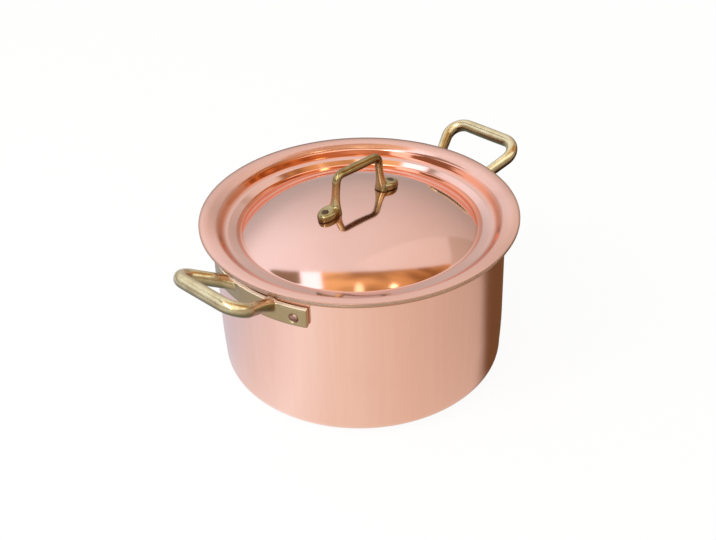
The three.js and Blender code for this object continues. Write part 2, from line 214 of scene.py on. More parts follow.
def offset_outline(points, distance):
    """The outline moved sideways, to the left of its direction: its two ends keep their radius."""
    last = len(points) - 1
    directions = [(b - a).normalized() for a, b in zip(points, points[1:])]
    moved = []
    for i, point in enumerate(points):
        if i in (0, last):
            along = directions[0 if i == 0 else last - 1]
            moved.append(Vector((point.x, point.y + distance / along.x)))
            continue
        along = (directions[i - 1] + directions[i]).normalized()
        reach = distance / along.dot(directions[i])
        moved.append(Vector((point.x - along.y * reach, point.y + along.x * reach)))
    return moved


def eased(points, radius, steps=4, limit=math.radians(50)):
    """The outline with its sharp corners rounded."""
    corners = [tuple(points[0])]
    for before, point, after in zip(points, points[1:], points[2:]):
        turn = (point - before).angle(after - point)
        reach = min((point - before).length, (after - point).length) * 0.45
        if turn > limit and reach > 0.01:
            fillet = min(radius, reach * math.tan((math.pi - turn) / 2))
            corners.append((point.x, point.y, fillet, steps))
        else:
            corners.append(tuple(point))
    corners.append(tuple(points[-1]))
    return rounded_outline(corners)


def body_outline():
    """Outside of the body, from the axis under the base to the lower corner of the lip's edge."""
    low_radius = WALL_RADIUS - DRAW_IN_DEPTH
    lip_drop = BODY_GAUGE / math.cos(LIP_ANGLE)
    lip_edge = (LIP_RADIUS, RIM_HEIGHT - lip_drop)
    bend_height = lip_edge[1] - LIP_WIDTH * math.tan(LIP_ANGLE)
    corners = [(0, 0), (WALL_RADIUS / 2, 0), (low_radius, 0, BASE_CORNER_RADIUS, 20)]
    for step in range(1, DRAW_IN_STEPS + 1):
        share = step / DRAW_IN_STEPS
        height = BASE_CORNER_RADIUS + (DRAW_IN_HEIGHT - BASE_CORNER_RADIUS) * share
        corners.append((WALL_RADIUS - DRAW_IN_DEPTH * (1 - share) ** 2, height))
    for height in WALL_STATIONS:
        corners.append((WALL_RADIUS, height))
    corners.append((WALL_RADIUS, bend_height, LIP_BEND_RADIUS, 10))
    corners.append(lip_edge)
    return rounded_outline(corners)


def lid_outline():
    """Outside of the lid, from its outer edge in to the axis, from the top of its outer edge."""
    corners = [
        (LID_EDGE_RADIUS, 0),
        (BAND_OUTER_RADIUS + FIRST_STEP_RUN, STEP_TOP, STEP_FILLET, 10),
        (BAND_OUTER_RADIUS, BAND_TOP, STEP_FILLET, 10),
        (BAND_INNER_RADIUS, BAND_BOTTOM, DOME_FILLET, 10),
        (DOME_RADIUS, DOME_BASE, DOME_FILLET, 12),
    ]
    for step in range(DOME_STEPS - 1, -1, -1):
        radius = DOME_RADIUS * step / DOME_STEPS
        corners.append((radius, dome_height(radius)))
    return rounded_outline(corners)


# Meshes

def made(name, mesh):
    """A smooth object from a bmesh whose sizes are in millimetres."""
    bmesh.ops.scale(mesh, vec=(MM, MM, MM), verts=mesh.verts)
    data = bpy.data.meshes.new(name)
    mesh.to_mesh(data)
    mesh.free()
    for face in data.polygons:
        face.use_smooth = True
    piece = bpy.data.objects.new(name, data)
    bpy.context.scene.collection.objects.link(piece)
    return piece


def turned_mesh(outline, sides=ROUND_SIDES):
    """A solid of revolution about Z from an outline that starts and ends on the axis."""
    mesh = bmesh.new()
    rings = []
    for point in outline:
        if point.x < 1e-6:
            rings.append([mesh.verts.new((0, 0, point.y))])
            continue
        ring = []
        for k in range(sides):
            angle = 2 * math.pi * k / sides
            place = (point.x * math.cos(angle), point.x * math.sin(angle), point.y)
            ring.append(mesh.verts.new(place))
        rings.append(ring)
    for lower, upper in zip(rings, rings[1:]):
        for k in range(sides):
            following = (k + 1) % sides
            corners = [lower[k % len(lower)], lower[following % len(lower)]]
            corners += [upper[following % len(upper)], upper[k % len(upper)]]
            distinct = list(dict.fromkeys(corners))
            if len(distinct) > 2:
                mesh.faces.new(distinct)
    bmesh.ops.recalc_face_normals(mesh, faces=mesh.faces)
    return mesh


def sheet_mesh(outline, near_depth, far_depth):
    """A layer between two depths to the left of an outline, with its edges eased."""
    near = offset_outline(outline, near_depth)
    far = offset_outline(outline, far_depth)
    ring = near + far[::-1] if outline[0].x < outline[-1].x else far[::-1] + near
    return turned_mesh(eased(ring, EDGE_ROUNDING))


def swept_mesh(path, across, section_at, sides=BAR_SIDES):
    """A bar along a path in one plane.

    section_at gives its half width in that plane and its half depth across it.
    """
    lengths = [0]
    for a, b in zip(path, path[1:]):
        lengths.append(lengths[-1] + (b - a).length)
    mesh = bmesh.new()
    rings = []
    for i, point in enumerate(path):
        before = path[max(i - 1, 0)]
        after = path[min(i + 1, len(path) - 1)]
        side = (after - before).normalized().cross(across)
        half_width, half_depth = section_at(lengths[i], lengths[-1])
        ring = []
        for k in range(sides):
            angle = 2 * math.pi * k / sides
            offset = side * (half_width * math.cos(angle)) + across * (half_depth * math.sin(angle))
            ring.append(mesh.verts.new(point + offset))
        rings.append(ring)
    for lower, upper in zip(rings, rings[1:]):
        for k in range(sides):
            following = (k + 1) % sides
            mesh.faces.new((lower[k], lower[following], upper[following], upper[k]))
    mesh.faces.new(rings[0])
    mesh.faces.new(rings[-1])
    bmesh.ops.recalc_face_normals(mesh, faces=mesh.faces)
    return mesh


def flare_share(distance, whole, flare_length):
    """How far a bar has flared towards the nearer of its ends."""
    share = max(0, 1 - min(distance, whole - distance) / flare_length)
    return share * share


def with_stations(points, count=14):
    """The path with its straight runs divided."""
    divided = []
    for a, b in zip(points, points[1:]):
        pieces = count if (b - a).length > 10 else 1
        divided += [a.lerp(b, step / pieces) for step in range(pieces)]
    divided.append(points[-1])
    return divided


def evaluated(piece):
    """The piece with its modifiers turned into mesh."""
    graph = bpy.context.evaluated_depsgraph_get()
    data = bpy.data.meshes.new_from_object(piece.evaluated_get(graph))
    old = piece.data
    piece.modifiers.clear()
    piece.data = data
    bpy.data.meshes.remove(old)
    return piece


def cast_in_one(name, parts, tools, grain):
    """Parts fused to one casting with soft fillets, after the tools have cut them."""
    piece = made(name, parts[0])
    helpers = []
    for i, part in enumerate(parts[1:]):
        helper = made(f"{name}_part_{i}", part)
        helpers.append(helper)
        join = piece.modifiers.new(f"join_{i}", "BOOLEAN")
        join.operation = "UNION"
        join.solver = "EXACT"
        join.object = helper
    for i, tool in enumerate(tools):
        helper = made(f"{name}_tool_{i}", tool)
        helpers.append(helper)
        cut = piece.modifiers.new(f"cut_{i}", "BOOLEAN")
        cut.operation = "DIFFERENCE"
        cut.solver = "EXACT"
        cut.object = helper
    remesh = piece.modifiers.new("casting_skin", "REMESH")
    remesh.mode = "VOXEL"
    remesh.voxel_size = grain * MM
    remesh.use_smooth_shade = True
    soften = piece.modifiers.new("casting_softness", "SMOOTH")
    soften.factor = 0.5
    soften.iterations = CASTING_SOFTENING
    evaluated(piece)
    for helper in helpers:
        data = helper.data
        bpy.data.objects.remove(helper)
        bpy.data.meshes.remove(data)
    for face in piece.data.polygons:
        face.use_smooth = True
    return piece


def trued(piece, bar, axis, start, run):
    """The casting with its skin laid back on its bar's surface, more and more along one axis."""
    surface = BVHTree.FromBMesh(bar)
    for vert in piece.data.vertices:
        place = vert.co / MM
        share = (place[axis] - start) / run
        if share > 0:
            nearest = surface.find_nearest(place)[0]
            vert.co = place.lerp(nearest, min(1, share)) * MM
    bar.free()
    return piece


def moved(mesh, matrix):
    bmesh.ops.transform(mesh, matrix=matrix, verts=mesh.verts)
    return mesh


# Rivets

def rivet_mesh(rivet, tail_at, head_at, dimple=0.0):
    """A rivet along Z from its tail to its head, which may have a struck dimple."""
    shank, head_radius, head_height, tail_radius, tail_height = rivet
    steps = 12
    outline = []
    for step in range(steps + 1):
        angle = math.pi / 2 * step / steps
        radius = tail_radius * math.sin(angle)
        outline.append(Vector((radius if step else 0, tail_at - tail_height * math.cos(angle))))
    outline.append(Vector((shank, tail_at)))
    outline.append(Vector((shank, head_at)))
    for step in range(steps * 2 + 1):
        angle = math.pi / 2 * step / (steps * 2)
        radius = head_radius * math.cos(angle) if step < steps * 2 else 0
        drop = dimple * math.exp(-((radius / (head_radius * 0.3)) ** 2) * 1.5)
        outline.append(Vector((radius, head_at + head_height * math.sin(angle) - drop)))
    return turned_mesh(outline, RIVET_SIDES)


def side_rivet_place(side):
    """Z along the rivet, out of the wall."""
    turn = Matrix.Rotation(side * SIDE_RIVET_ANGLE, 4, "Z")
    lift = Matrix.Translation((0, 0, SIDE_RIVET_HEIGHT))
    return turn @ lift @ Matrix.Rotation(math.pi / 2, 4, "Y")


def foot_place(side):
    """Z along the foot's rivet, square to the dome."""
    centre = FOOT_SPACING / 2
    place = Matrix.Translation((side * centre, 0, dome_height(centre)))
    return place @ Matrix.Rotation(side * dome_slope(centre), 4, "Y")


def bore_mesh(radius, low, high):
    outline = [Vector((0, low)), Vector((radius, low)), Vector((radius, high)), Vector((0, high))]
    return turned_mesh(outline, BORE_SIDES)


# Side handle

def strap_mesh():
    """The band on the wall: a long block with eased edges, bent round the wall."""
    mesh = bmesh.new()
    bmesh.ops.create_cube(mesh, size=1)
    half_length = STRAP_LENGTH / 2
    for vert in mesh.verts:
        vert.co.x *= 2 * half_length
        vert.co.y *= STRAP_THICKNESS
        vert.co.z *= STRAP_HEIGHT
    bmesh.ops.bevel(
        mesh, geom=mesh.edges[:], offset=STRAP_EDGE_RADIUS, segments=3, profile=0.5, affect="EDGES"
    )
    for step in range(1, STRAP_SLICES):
        place = -half_length + STRAP_LENGTH * step / STRAP_SLICES
        bmesh.ops.bisect_plane(
            mesh,
            geom=mesh.verts[:] + mesh.edges[:] + mesh.faces[:],
            plane_co=(place, 0, 0),
            plane_no=(1, 0, 0),
        )
    middle_radius = (STRAP_INNER_RADIUS + STRAP_OUTER_RADIUS) / 2
    middle_height = STRAP_TOP - STRAP_HEIGHT / 2
    for vert in mesh.verts:
        angle = vert.co.x / STRAP_OUTER_RADIUS
        radius = middle_radius + vert.co.y
        height = middle_height + vert.co.z
        vert.co = Vector((radius * math.cos(angle), radius * math.sin(angle), height))
    bmesh.ops.recalc_face_normals(mesh, faces=mesh.faces)
    return mesh


def loop_mesh():
    """Two splayed legs and a bar, in one plane that leans up and out from the strap."""
    strap_middle = (STRAP_INNER_RADIUS + STRAP_OUTER_RADIUS) / 2
    root_distance = math.sqrt(strap_middle**2 - (LOOP_ROOT_SPAN / 2) ** 2)
    bar_distance = STRAP_OUTER_RADIUS + LOOP_REACH
    slant = math.hypot(bar_distance - root_distance, LOOP_RISE)
    flat = rounded_outline([
        (0, -LOOP_ROOT_SPAN / 2),
        (slant, -LOOP_BAR_SPAN / 2, LOOP_CORNER_RADIUS, 26),
        (slant, LOOP_BAR_SPAN / 2, LOOP_CORNER_RADIUS, 26),
        (0, LOOP_ROOT_SPAN / 2),
    ])
    outward = Vector((bar_distance - root_distance, 0, LOOP_RISE)).normalized()
    across = Vector((-outward.z, 0, outward.x))
    root = Vector((root_distance, 0, STRAP_TOP - LOOP_ROOT_DROP))
    path = [root + outward * p.x + Vector((0, p.y, 0)) for p in with_stations(flat)]

    def section_at(distance, whole):
        swell = math.sin(math.pi * distance / whole) ** 2
        plain = LOOP_LEG_HALF_WIDTH + (LOOP_BAR_HALF_WIDTH - LOOP_LEG_HALF_WIDTH) * swell
        share = flare_share(distance, whole, LOOP_FLARE_LENGTH)
        return plain + (LOOP_ROOT_HALF_WIDTH - LOOP_LEG_HALF_WIDTH) * share, LOOP_HALF_DEPTH

    return swept_mesh(path, across, section_at)


def body_seat_mesh():
    """What the side casting may not enter: the body's outside, with its seat's gap round it."""
    outline = offset_outline(body_outline(), -STRAP_SEAT_GAP) + [Vector((0, RIM_HEIGHT + 1))]
    return turned_mesh(outline)


def side_handle(name, turn):
    """A loop and its strap in one casting, with its rivet recesses."""
    tools = [body_seat_mesh()]
    for side in (-1, 1):
        floor = STRAP_OUTER_RADIUS - SIDE_RECESS_DEPTH
        recess = bore_mesh(SIDE_RIVET[1] + RIVET_GAP, floor, STRAP_OUTER_RADIUS + 6)
        tools.append(moved(recess, side_rivet_place(side)))
    piece = cast_in_one(name, [loop_mesh(), strap_mesh()], tools, SIDE_CASTING_GRAIN)
    past, run = LOOP_TRUING
    piece = trued(piece, loop_mesh(), 0, STRAP_OUTER_RADIUS + past, run)
    piece.data.transform(Matrix.Rotation(turn, 4, "Z"))
    return piece


def side_rivet(name, side, turn):
    tail_at = MOUTH_RADIUS - RIVET_GAP - SIDE_RIVET[3] ** 2 / (2 * MOUTH_RADIUS)
    head_at = STRAP_OUTER_RADIUS - SIDE_RECESS_DEPTH
    mesh = moved(rivet_mesh(SIDE_RIVET, tail_at, head_at), side_rivet_place(side))
    return made(name, moved(mesh, Matrix.Rotation(turn, 4, "Z")))


# Lid handle

def foot_mesh(side):
    """An oval pad with a soft crown, square to the dome, that reaches below its seat to be cut."""
    mesh = bmesh.new()
    sides = 64
    levels = [(1.0, -FOOT_DEPTH)] + [(share, FOOT_THICKNESS * rise) for share, rise in FOOT_CROWN]
    rings = []
    for share, height in levels:
        ring = []
        for k in range(sides):
            angle = 2 * math.pi * k / sides
            x = FOOT_LENGTH / 2 * share * math.cos(angle) - side * FOOT_SHIFT
            y = FOOT_WIDTH / 2 * share * math.sin(angle)
            ring.append(mesh.verts.new((x, y, height)))
        rings.append(ring)
    for lower, upper in zip(rings, rings[1:]):
        for k in range(sides):
            following = (k + 1) % sides
            mesh.faces.new((lower[k], lower[following], upper[following], upper[k]))
    mesh.faces.new(rings[0])
    mesh.faces.new(rings[-1])
    bmesh.ops.recalc_face_normals(mesh, faces=mesh.faces)
    return moved(mesh, foot_place(side))


def bridge_mesh():
    """Two legs that flare into the feet, and a bar, in one upright plane."""
    root_height = dome_height(HANDLE_LEG_SPAN / 2) - LEG_OVERRUN
    bar_height = DOME_TOP + HANDLE_HEIGHT
    flat = rounded_outline([
        (-HANDLE_LEG_SPAN / 2, root_height),
        (-HANDLE_BAR_SPAN / 2, bar_height, HANDLE_CORNER_RADIUS, 20),
        (HANDLE_BAR_SPAN / 2, bar_height, HANDLE_CORNER_RADIUS, 20),
        (HANDLE_LEG_SPAN / 2, root_height),
    ])
    path = [Vector((p.x, 0, p.y)) for p in with_stations(flat)]

    def section_at(distance, whole):
        swell = math.sin(math.pi * distance / whole) ** 4
        radius = HANDLE_LEG_RADIUS + (HANDLE_BAR_RADIUS - HANDLE_LEG_RADIUS) * swell
        flare = flare_share(distance, whole, HANDLE_FLARE_LENGTH)
        half_width = radius + (HANDLE_ROOT_HALF_WIDTH - HANDLE_LEG_RADIUS) * flare
        half_depth = radius + (HANDLE_ROOT_HALF_DEPTH - HANDLE_LEG_RADIUS) * flare
        return half_width, half_depth

    return swept_mesh(path, Vector((0, -1, 0)), section_at)


def lid_place():
    return Matrix.Translation((0, 0, LID_HEIGHT)) @ Matrix.Rotation(LID_HANDLE_TURN, 4, "Z")


def lid_seat_mesh():
    """What the lid's casting may not enter: the lid's outside, with its seat's gap over it."""
    floor = DOME_BASE - FOOT_DEPTH
    outside = offset_outline(lid_outline(), -FOOT_SEAT_GAP)
    closed = [Vector((0, floor)), Vector((LID_EDGE_RADIUS, floor))] + outside
    return turned_mesh(closed, LID_SEAT_SIDES)


def lid_handle(name):
    """The bridge and its feet in one casting, with its rivet recesses."""
    tools = [lid_seat_mesh()]
    for side in (-1, 1):
        floor = FOOT_THICKNESS - LID_RECESS_DEPTH
        recess = bore_mesh(LID_RIVET[1] + RIVET_GAP, floor, FOOT_THICKNESS + 4)
        tools.append(moved(recess, foot_place(side)))
    place = lid_place()
    parts = [moved(part, place) for part in (bridge_mesh(), foot_mesh(-1), foot_mesh(1))]
    tools = [moved(tool, place) for tool in tools]
    piece = cast_in_one(name, parts, tools, LID_CASTING_GRAIN)
    past, run = BRIDGE_TRUING
    foot_top = LID_HEIGHT + dome_height(HANDLE_LEG_SPAN / 2) + FOOT_THICKNESS
    return trued(piece, moved(bridge_mesh(), place), 2, foot_top + past, run)


def lid_rivet(name, side):
    tail_at = -LID_GAUGE - TIN_STACK - 2 * RIVET_GAP
    head_at = FOOT_THICKNESS - LID_RECESS_DEPTH
    mesh = moved(rivet_mesh(LID_RIVET, tail_at, head_at, LID_RIVET_DIMPLE), foot_place(side))
    return made(name, moved(mesh, lid_place()))


# Finishes. Places and radii in them are in metres, from the pot's origin

class Value:
    """A number that varies over a surface. Python's operators on it add the Math nodes."""

    def __init__(self, finish, socket):
        self.finish = finish
        self.socket = socket

    def maths(self, operation, *numbers):
        return self.finish.add("ShaderNodeMath", {"operation": operation}, dict(enumerate(numbers)))

    def __add__(self, other):
        return self.maths("ADD", self, other)

    __radd__ = __add__

    def __sub__(self, other):
        return self.maths("SUBTRACT", self, other)

    def __rsub__(self, other):
        return self.maths("SUBTRACT", other, self)

    def __mul__(self, other):
        return self.maths("MULTIPLY", self, other)

    __rmul__ = __mul__

    def __truediv__(self, other):
        return self.maths("DIVIDE", self, other)

    def __pow__(self, other):
        return self.maths("POWER", self, other)

    def highest(self, other):
        return self.maths("MAXIMUM", self, other)

    def lowest(self, other):
        return self.maths("MINIMUM", self, other)

    def rise(self, low, high):
        """A soft step: zero below one value, one above another."""
        settings = {"interpolation_type": "SMOOTHSTEP"}
        return self.finish.add("ShaderNodeMapRange", settings, {"Value": self, 1: low, 2: high})


class Finish:
    """The nodes of one material or of the world."""

    def __init__(self, tree):
        self.tree = tree
        tree.nodes.clear()

    def add(self, kind, settings=None, inputs=None, output=0):
        """Adds a node: its settings first, then the values or links of its sockets."""
        node = self.tree.nodes.new(kind)
        for key, value in (settings or {}).items():
            if key == "stops":
                ramp = node.color_ramp
                while len(ramp.elements) < len(value):
                    ramp.elements.new(1)
                for element, (place, colour) in zip(ramp.elements, value):
                    element.position = place
                    element.color = (*colour, 1)
            else:
                setattr(node, key, value)
        for key, value in (inputs or {}).items():
            socket = node.inputs[key]
            if isinstance(value, Value):
                self.tree.links.new(value.socket, socket)
            else:
                socket.default_value = value
        return Value(self, node.outputs[output]) if node.outputs else None

    def place(self):
        """The point's place on the piece, in metres."""
        return self.add("ShaderNodeTexCoord", None, None, "Object")

    def parts_of(self, vector):
        """The three numbers of a vector."""
        split = self.add("ShaderNodeSeparateXYZ", None, {0: vector})
        return [Value(self, socket) for socket in split.socket.node.outputs]

    def stretched(self, vector, scale):
        return self.add("ShaderNodeVectorMath", {"operation": "MULTIPLY"}, {0: vector, 1: scale})

    def noise(self, vector, scale, detail=3.0, roughness=0.5, distortion=0.0):
        inputs = {
            "Vector": vector, "Scale": scale, "Detail": detail,
            "Roughness": roughness, "Distortion": distortion,
        }
        return self.add("ShaderNodeTexNoise", None, inputs, "Fac")

    def blend(self, mask, first, second):
        settings = {"data_type": "RGBA"}
        return self.add("ShaderNodeMix", settings, {0: mask, 6: first, 7: second}, 2)

    def tinted(self, mask, colour, by):
        settings = {"data_type": "RGBA", "blend_type": "MULTIPLY"}
        return self.add("ShaderNodeMix", settings, {0: mask, 6: colour, 7: by}, 2)

    def bump(self, height, distance):
        inputs = {"Height": height, "Distance": distance, "Strength": 1.0}
        return self.add("ShaderNodeBump", None, inputs)


def metal(name, dress):
    """A metal whose colour, metalness, roughness and relief come from the dress function."""
    material = bpy.data.materials.new(name)
    material.use_nodes = True
    finish = Finish(material.node_tree)
    colour, metalness, roughness, relief = dress(finish)
    surface = finish.add("ShaderNodeBsdfPrincipled", None, {
        "Base Color": colour, "Metallic": metalness, "Roughness": roughness, "Normal": relief,
    })
    finish.add("ShaderNodeOutputMaterial", None, {"Surface": surface})
    return material


def body_copper(finish):
    """Satin copper with faint upright wiping streaks, a painted shade just under the lip, and a
    painted brown shade on the lip's edge, where the lid overhangs it.
    """
    place = finish.place()
    x, y, z = finish.parts_of(place)
    wide = finish.noise(finish.stretched(place, (1, 1, 0.06)), 30, 2)
    fine = finish.noise(finish.stretched(place, (1, 1, 0.04)), 190, 3, 0.6)
    cloud = finish.noise(place, 24, 4, 0.55)
    grain = finish.noise(place, 1100, 2, 0.6)
    streaks = wide * 0.6 + fine * 0.4
    warm = finish.blend(streaks.rise(0.3, 0.7), (0.93, 0.6, 0.505, 1), (0.96, 0.635, 0.545, 1))
    colour = finish.blend(cloud.rise(0.5, 0.78) * 0.3, warm, (0.88, 0.55, 0.46, 1))
    # Painted shade: the wall is darkened just under the lip
    shade_painted_under_lip = z.rise(0.124, 0.132) * 0.3
    colour = finish.blend(shade_painted_under_lip, colour, (0.72, 0.43, 0.34, 1))
    # Painted shade: the lip's edge is coloured dark brown for the shadow of the lid's overhang
    lip_edge_painted_shade = ((x * x + y * y) ** 0.5).rise(0.1291, 0.1296)
    colour = finish.blend(lip_edge_painted_shade * 0.75, colour, (0.4, 0.23, 0.12, 1))
    roughness = 0.17 + streaks * 0.07 + cloud * 0.04
    relief = finish.bump(fine * 0.3 + grain * 0.12 + wide * 1.6, 0.00003)
    return colour, 1.0, roughness, relief


def lid_copper(finish):
    """Polished copper with faint turning rings, a painted orange reflection on the steps and satin
    on the flange.
    """
    place = finish.place()
    x, y = finish.parts_of(place)[:2]
    radius = (x * x + y * y) ** 0.5
    turning = finish.add("ShaderNodeCombineXYZ", None, {0: radius, 1: 0.1, 2: 0.2})
    rings = finish.noise(turning, 900, 2)
    cloud = finish.noise(place, 22, 4, 0.55)
    swell = finish.noise(place, 13, 2)
    grain = finish.noise(place, 1300, 2, 0.6)
    toned = cloud.rise(0.42, 0.72) * 0.5
    colour = finish.blend(toned, (0.95, 0.612, 0.517, 1), (0.92, 0.56, 0.465, 1))
    # Painted reflection: the steps are tinted orange, the inner one only on the far side, for the
    # copper they mirror
    outer_step_painted_reflection = radius.rise(0.1095, 0.1135) * (1 - radius.rise(0.115, 0.119))
    inner_step_painted_reflection = radius.rise(0.095, 0.097) * (1 - radius.rise(0.1, 0.1025))
    behind = (x + y).rise(-0.09, 0.03)
    colour = finish.tinted(outer_step_painted_reflection + inner_step_painted_reflection * behind, colour, (0.95, 0.55, 0.38, 1))
    edge = radius.rise(0.1293, 0.131)
    colour = finish.blend(edge * 0.7, colour, (0.5, 0.31, 0.21, 1))
    satin = radius.rise(0.1165, 0.119)
    colour = finish.tinted(satin, colour, (0.89, 0.86, 0.84, 1))
    roughness = 0.06 + cloud * 0.04 + grain * 0.02 + satin * 0.06

    # What the reflections ask for: the flange and the band are steeper behind, the flange is
    # flatter in front, and it rolls over at its rim
    roll = (radius - 0.1235).highest(0)
    ledge = (radius - 0.1005).highest(0).lowest(0.0075)
    flange = (radius - 0.1165).highest(0)
    dishing = flange * (behind * 7200 - 4400) + behind * ledge * 4300
    dishing = dishing - roll * roll * (behind * 340000 + 120000)
    relief = finish.bump(rings * 0.02 + grain * 0.02 + swell * 3.0 + dishing, 0.0001)
    return colour, 1 - satin * 0.15, roughness, relief


def facing_up(finish):
    """How far the surface faces up: the upright part of its normal."""
    return finish.parts_of(finish.add("ShaderNodeTexCoord", None, None, "Normal"))[2]


def side_handle_brass(finish):
    """Pale cast brass, with a painted highlight on the strap's top, painted dark shade underneath,
    painted shade where it meets the pot, and duller mottling here and there.
    """
    place = finish.place()
    x, y, z = finish.parts_of(place)
    reach = (x * x + y * y) ** 0.5
    cloud = finish.noise(place, 75, 5, 0.65)
    skin = finish.noise(place, 260, 3, 0.55)
    grain = finish.noise(place, 1600, 2, 0.6)
    bright = finish.blend(cloud.rise(0.38, 0.7), (0.88, 0.77, 0.49, 1), (0.68, 0.55, 0.3, 1))
    facing = facing_up(finish)
    # Painted shade: faces turned downwards are darkened nearly to black
    under = 1 - facing.rise(-0.35, 0.55)
    colour = finish.blend(under * 0.95, bright, (0.1, 0.085, 0.04, 1))
    # Painted shade on the faces near the wall that don't face up, mixed with the skin's own random
    # duller mottling
    painted_shade_near_wall = (1 - reach.rise(0.124, 0.134)) * (1 - facing.rise(0.5, 0.9))
    wall_shade_and_mottling = painted_shade_near_wall * 0.6 + skin.rise(0.58, 0.75) * 0.18
    colour = finish.blend(wall_shade_and_mottling, colour, (0.43, 0.3, 0.155, 1))
    # Painted highlight: the strap's top edge is pale cream and less metallic, so that the lamp
    # lights it
    painted_strap_top_highlight = (1 - reach.rise(0.1255, 0.1275)) * facing.rise(0.55, 0.8) * z.rise(0.118, 0.12)
    colour = finish.blend(painted_strap_top_highlight, colour, (0.95, 0.88, 0.7, 1))
    roughness = 0.15 + cloud * 0.12 + skin * 0.06
    relief = finish.bump(cloud * 2.2 + skin * 0.4 + grain * 0.08, 0.00016)
    return colour, 1 - painted_strap_top_highlight * 0.7, roughness, relief


def lid_handle_brass(finish):
    """Cast brass gone olive, with a painted highlight on the legs and painted shade underneath."""
    place = finish.place()
    z = finish.parts_of(place)[2]
    cloud = finish.noise(place, 70, 4, 0.6)
    skin = finish.noise(place, 300, 3, 0.55)
    grain = finish.noise(place, 1700, 2, 0.6)
    # Painted highlight: a band up the legs is brighter brass
    painted_leg_highlight = z.rise(0.15, 0.163) * (1 - z.rise(0.17, 0.18))
    olive = finish.blend(cloud.rise(0.35, 0.7), (0.48, 0.37, 0.17, 1), (0.28, 0.205, 0.08, 1))
    colour = finish.blend(painted_leg_highlight * 0.75, olive, (0.84, 0.71, 0.4, 1))
    # Painted shade: faces turned downwards are darkened nearly to black
    under = 1 - facing_up(finish).rise(-0.3, 0.4)
    colour = finish.blend(under * 0.92, colour, (0.09, 0.055, 0.02, 1))
    roughness = 0.08 + cloud * 0.1 + skin * 0.05
    relief = finish.bump(cloud * 1.4 + skin * 0.3 + grain * 0.08, 0.00016)
    return colour, 1.0, roughness, relief


def rivet_metal(finish):
    """The wall's rivets: copper gone dull, with hammer marks, and painted shade underneath."""
    place = finish.place()
    marks = finish.noise(place, 420, 2)
    cloud = finish.noise(place, 1500, 3)
    colour = finish.blend(cloud.rise(0.3, 0.7), (0.85, 0.55, 0.47, 1), (0.5, 0.29, 0.23, 1))
    # Painted shade: faces turned downwards are darkened
    under = 1 - facing_up(finish).rise(-0.1, 0.55)
    colour = finish.blend(under * 0.9, colour, (0.16, 0.07, 0.045, 1))
    roughness = 0.2 + cloud * 0.2
    relief = finish.bump(marks + cloud * 0.2, 0.0002)
    return colour, 1.0, roughness, relief


def sunk_rivet_metal(finish):
    """The lid's rivets, set in recesses: the same copper, coloured dark brown."""
    place = finish.place()
    marks = finish.noise(place, 500, 2)
    cloud = finish.noise(place, 1500, 3)
    colour = finish.blend(cloud.rise(0.3, 0.7), (0.17, 0.11, 0.07, 1), (0.09, 0.055, 0.035, 1))
    return colour, 1.0, 0.25 + cloud * 0.2, finish.bump(marks + cloud * 0.2, 0.0002)


def tin_metal(finish):
    """Wiped tin: dull grey with broad wiping marks."""
    place = finish.place()
    wipe = finish.noise(finish.stretched(place, (1, 0.25, 0.5)), 60, 4, 0.6, 0.4)
    cloud = finish.noise(place, 18, 3)
    grain = finish.noise(place, 1200, 2)
    colour = finish.blend(wipe.rise(0.35, 0.7), (0.66, 0.66, 0.64, 1), (0.56, 0.56, 0.55, 1))
    roughness = 0.3 + wipe * 0.18 + cloud * 0.06
    relief = finish.bump(wipe * 1.0 + cloud * 2.0 + grain * 0.1, 0.0001)
    return colour, 1.0, roughness, relief


# The pot

def dress_pot():
    body = metal("copper_of_the_body", body_copper)
    lid = metal("copper_of_the_lid", lid_copper)
    side_brass = metal("brass_of_the_side_handles", side_handle_brass)
    top_brass = metal("brass_of_the_lid_handle", lid_handle_brass)
    rivets = metal("copper_of_the_rivets", rivet_metal)
    sunk_rivets = metal("darkened_copper_of_the_lid_rivets", sunk_rivet_metal)
    tin = metal("tin_of_the_linings", tin_metal)

    def settle(piece, node, owner, material):
        piece.data.materials.append(material)
        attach(piece, owner)
        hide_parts(node)

    outline = body_outline()
    shell = made("body_of_the_pot", sheet_mesh(outline, 0, BODY_GAUGE))
    settle(shell, "pot_shell", "pot", body)
    mesh = sheet_mesh(outline, BODY_GAUGE + TIN_GAP, BODY_GAUGE + TIN_STACK)
    settle(made("tin_of_the_pot", mesh), "pot_lining", "pot", tin)

    outline = lid_outline()
    lift = Matrix.Translation((0, 0, LID_HEIGHT))
    top = made("sheet_of_the_lid", moved(sheet_mesh(outline, 0, LID_GAUGE), lift))
    settle(top, "lid_shell", "lid", lid)
    mesh = sheet_mesh(outline, LID_GAUGE + TIN_GAP, LID_GAUGE + TIN_STACK)
    settle(made("tin_of_the_lid", moved(mesh, lift)), "lid_lining", "lid", tin)

    for word, turn in (("right", 0), ("left", math.pi)):
        piece = side_handle(f"loop_handle_{word}", turn)
        settle(piece, f"side_handle_{word}", "pot", side_brass)
        for letter, side in (("a", -1), ("b", 1)):
            piece = side_rivet(f"wall_rivet_{word}_{letter}", side, turn)
            settle(piece, f"side_rivet_{word}_{letter}", "pot", rivets)
    settle(lid_handle("bridge_handle"), "lid_handle", "lid", top_brass)
    for letter, side in (("a", -1), ("b", 1)):
        piece = lid_rivet(f"top_rivet_{letter}", side)
        settle(piece, f"lid_rivet_{letter}", "lid", sunk_rivets)


# The studio

CAMERA_TURN = math.radians(-45.3)
CAMERA_HEIGHT_ANGLE = math.radians(33.683)
CAMERA_DISTANCE = 1040.0
CAMERA_ROLL = math.radians(1.919)
CAMERA_TARGET = Vector((-2.383, 0, 81.794))
FOCAL_PIXELS = 1228.24
IMAGE_WIDTH = 716


def studio_turn():
    """Turns the studio's frame, X to the camera's right and Y away from it, to the pot's."""
    return Matrix.Rotation(CAMERA_TURN, 4, "Z")


